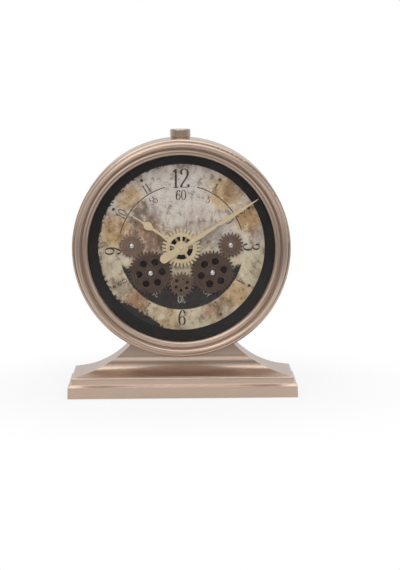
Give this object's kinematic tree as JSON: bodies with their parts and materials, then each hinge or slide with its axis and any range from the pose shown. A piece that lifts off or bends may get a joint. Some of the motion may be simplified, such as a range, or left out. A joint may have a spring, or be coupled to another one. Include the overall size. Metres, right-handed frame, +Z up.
{
  "type": "table clock with open gear train",
  "caption": "Round drum table clock on a swept rectangular plinth, with hands and a turning gear train on the dial behind glass, driven by a movement and a geared drive behind.",
  "frame": {"origin": "middle of the footprint, on the surface that the rubber feet rest on", "axes": "+X to the right as seen from the front, +Y to the back, +Z up"},
  "size_m": [0.28, 0.11, 0.325],
  "materials": {
    "bronze": "satin brushed rose bronze",
    "hand_gold": "satin pale gold",
    "gear_brown": "satin chocolate brown",
    "cap_chrome": "bright",
    "fastener_steel": "zinc plated",
    "bush_brass": "turned",
    "clear_glass": "clear",
    "dial_print": "aged printed paper on board",
    "black_ring": "semi-matt black",
    "black_plastic": "moulded black",
    "white_gear": "moulded natural",
    "cover_black": "matt black",
    "foot_rubber": "matt",
    "cell_jacket": "gloss sleeve",
    "coil_copper": "enamelled wire"
  },
  "bodies": {
    "case": {"base_slab": "bronze", "base_step": "bronze", "plinth_saddle": "bronze", "drum_shell": "bronze", "bezel": "bronze", "top_knob": "bronze", "knob_collar": "bronze", "carrier_ring": "bronze", "bottom_plate": "cover_black", "back_cover": "cover_black", "rubber_feet": "foot_rubber", "glass_gasket": "foot_rubber", "bottom_plate_screws": "fastener_steel", "tie_bolts": "fastener_steel", "tie_nuts": "fastener_steel", "knob_stud": "fastener_steel", "knob_nut": "fastener_steel", "back_cover_screws": "fastener_steel", "dial_screws": "fastener_steel", "gear_posts": "fastener_steel", "post_nuts": "fastener_steel", "post_washers": "fastener_steel", "movement_contacts": "fastener_steel", "drive_contacts": "fastener_steel", "drive_motor": "fastener_steel", "glass": "clear_glass", "dial_surround": "black_ring", "movement_washer": "black_ring", "dial_plate": "dial_print", "post_caps": "cap_chrome", "movement_bush": "bush_brass", "movement_nut": "bush_brass", "drive_bush": "bush_brass", "drive_nut": "bush_brass", "movement_case": "black_plastic", "movement_lid": "black_plastic", "drive_case": "black_plastic", "drive_lid": "black_plastic", "stepper_coil": "coil_copper", "movement_cell": "cell_jacket", "drive_cell": "cell_jacket"},
    "minute": {"minute_hand": "hand_gold", "hand_nut": "hand_gold", "minute_arbor": "fastener_steel"},
    "hour": {"hour_gear": "hand_gold", "hour_back_wheel": "hand_gold", "hour_hand": "hand_gold", "hour_rivets": "hand_gold", "hour_pipe": "bush_brass"},
    "minute_wheel": {"minute_wheel": "white_gear"},
    "set_knob": {"set_knob": "black_plastic"},
    "drive": {"drive_pinion": "gear_brown", "drive_shaft": "fastener_steel"},
    "left_wheel": {"left_wheel": "gear_brown"},
    "right_wheel": {"right_wheel": "gear_brown"},
    "left_idler": {"left_idler": "gear_brown"},
    "right_idler": {"right_idler": "gear_brown"},
    "reduction": {"reduction_gear": "white_gear"},
    "motor": {"motor_pinion": "bush_brass"}
  },
  "joints": [
    {"name": "minute_turn", "type": "hinge", "parent": "case", "child": "minute", "pos_m": [0, 0, 0.1811], "axis": [0, 1, 0], "continuous": true},
    {"name": "hour_turn", "type": "hinge", "parent": "case", "child": "hour", "pos_m": [0, 0, 0.1811], "axis": [0, 1, 0], "continuous": true},
    {"name": "minute_wheel_turn", "type": "hinge", "parent": "case", "child": "minute_wheel", "pos_m": [0, 0, 0.1961], "axis": [0, 1, 0], "continuous": true},
    {"name": "set_knob_turn", "type": "hinge", "parent": "case", "child": "set_knob", "pos_m": [0.01521, 0, 0.19202], "axis": [0, 1, 0], "continuous": true},
    {"name": "drive_turn", "type": "hinge", "parent": "case", "child": "drive", "pos_m": [0, 0, 0.1356], "axis": [0, 1, 0], "continuous": true},
    {"name": "left_wheel_turn", "type": "hinge", "parent": "case", "child": "left_wheel", "pos_m": [-0.03803, 0, 0.14982], "axis": [0, 1, 0], "continuous": true},
    {"name": "right_wheel_turn", "type": "hinge", "parent": "case", "child": "right_wheel", "pos_m": [0.03803, 0, 0.14982], "axis": [0, 1, 0], "continuous": true},
    {"name": "left_idler_turn", "type": "hinge", "parent": "case", "child": "left_idler", "pos_m": [-0.0605, 0, 0.18364], "axis": [0, 1, 0], "continuous": true},
    {"name": "right_idler_turn", "type": "hinge", "parent": "case", "child": "right_idler", "pos_m": [0.0605, 0, 0.18364], "axis": [0, 1, 0], "continuous": true},
    {"name": "reduction_turn", "type": "hinge", "parent": "case", "child": "reduction", "pos_m": [-0.00919, 0, 0.12641], "axis": [0, 1, 0], "continuous": true},
    {"name": "motor_turn", "type": "hinge", "parent": "case", "child": "motor", "pos_m": [0.00302, 0, 0.12196], "axis": [0, 1, 0], "continuous": true}
  ],
  "couplings": [
    {"joint": "hour_turn", "follows": "minute_turn", "ratio": 0.083333},
    {"joint": "minute_wheel_turn", "follows": "minute_turn", "ratio": -0.33333},
    {"joint": "set_knob_turn", "follows": "minute_turn", "ratio": 0.83333},
    {"joint": "left_wheel_turn", "follows": "drive_turn", "ratio": -0.55556},
    {"joint": "right_wheel_turn", "follows": "drive_turn", "ratio": -0.55556},
    {"joint": "left_idler_turn", "follows": "drive_turn", "ratio": 1},
    {"joint": "right_idler_turn", "follows": "drive_turn", "ratio": 1},
    {"joint": "reduction_turn", "follows": "drive_turn", "ratio": -3.3333},
    {"joint": "motor_turn", "follows": "drive_turn", "ratio": 11.111}
  ]
}
